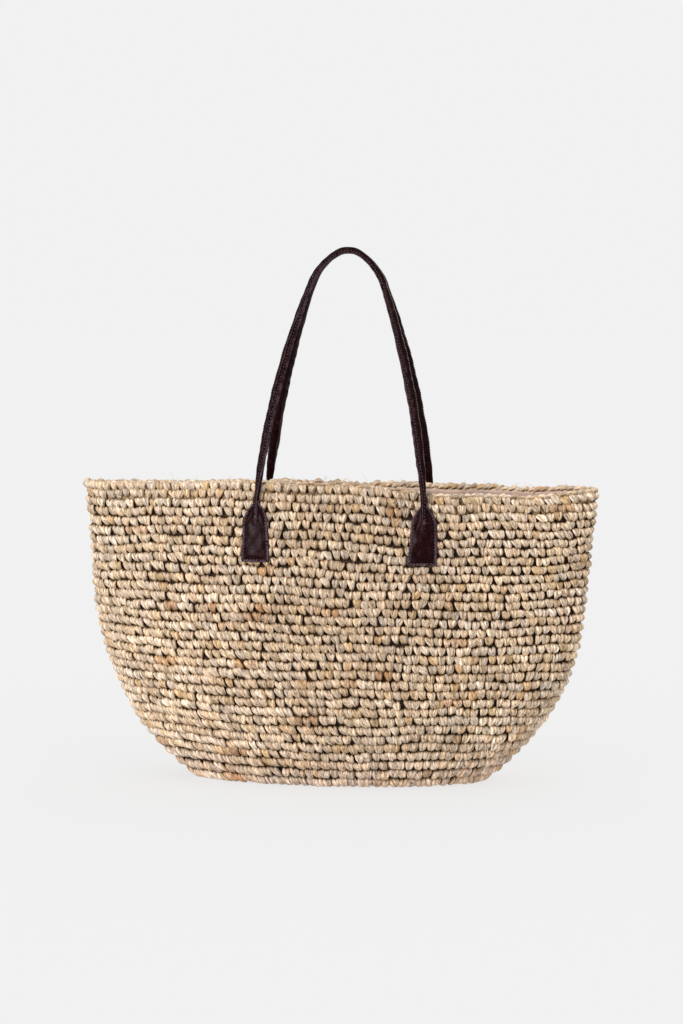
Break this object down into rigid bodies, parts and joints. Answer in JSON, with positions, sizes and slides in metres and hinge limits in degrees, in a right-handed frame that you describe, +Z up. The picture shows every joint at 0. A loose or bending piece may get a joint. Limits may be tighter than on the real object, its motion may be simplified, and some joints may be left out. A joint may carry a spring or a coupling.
{
  "type": "beach bag",
  "caption": "Open-topped crocheted raffia beach tote: flared body on an oval base, cloth lining, and rolled leather carrying handles sewn on through stitched tabs.",
  "frame": {"origin": "middle of the oval base, on the surface the bag stands on", "axes": "+Z up; +X along the width of the mouth, to the right seen from the front; the front is on the -Y side"},
  "size_m": [0.542, 0.168, 0.5549],
  "materials": {
    "raffia": "matte",
    "leather": "satin",
    "lining_cloth": "matte",
    "cotton_rope": "matte",
    "brown_thread": "matte",
    "cream_thread": "matte"
  },
  "bodies": {
    "bag": {"crochet_wall": "raffia", "crochet_base": "raffia", "rim_edging": "raffia", "lining_front": "lining_cloth", "lining_rear": "lining_cloth", "lining_base": "lining_cloth", "lining_hem": "lining_cloth", "hem_thread": "cream_thread", "lining_seam_thread": "cream_thread", "front_left_tab": "leather", "front_left_tab_thread": "brown_thread", "front_left_tab_backing": "leather", "front_right_tab": "leather", "front_right_tab_thread": "brown_thread", "front_right_tab_backing": "leather", "rear_left_tab": "leather", "rear_left_tab_thread": "brown_thread", "rear_left_tab_backing": "leather", "rear_right_tab": "leather", "rear_right_tab_thread": "brown_thread", "rear_right_tab_backing": "leather"},
    "front_handle": {"front_handle_strap": "leather", "front_handle_core": "cotton_rope", "front_handle_thread": "brown_thread"},
    "rear_handle": {"rear_handle_strap": "leather", "rear_handle_core": "cotton_rope", "rear_handle_thread": "brown_thread"}
  },
  "joints": [
    {"name": "front_handle_fold", "type": "hinge", "parent": "bag", "child": "front_handle", "pos_m": [0.008, -0.0495, 0.293], "axis": [0.9999, 0, -0.0105], "range_deg": [0, 145]},
    {"name": "rear_handle_fold", "type": "hinge", "parent": "bag", "child": "rear_handle", "pos_m": [0.008, 0.0495, 0.293], "axis": [-0.9999, 0, 0.0105], "range_deg": [0, 145]}
  ]
}
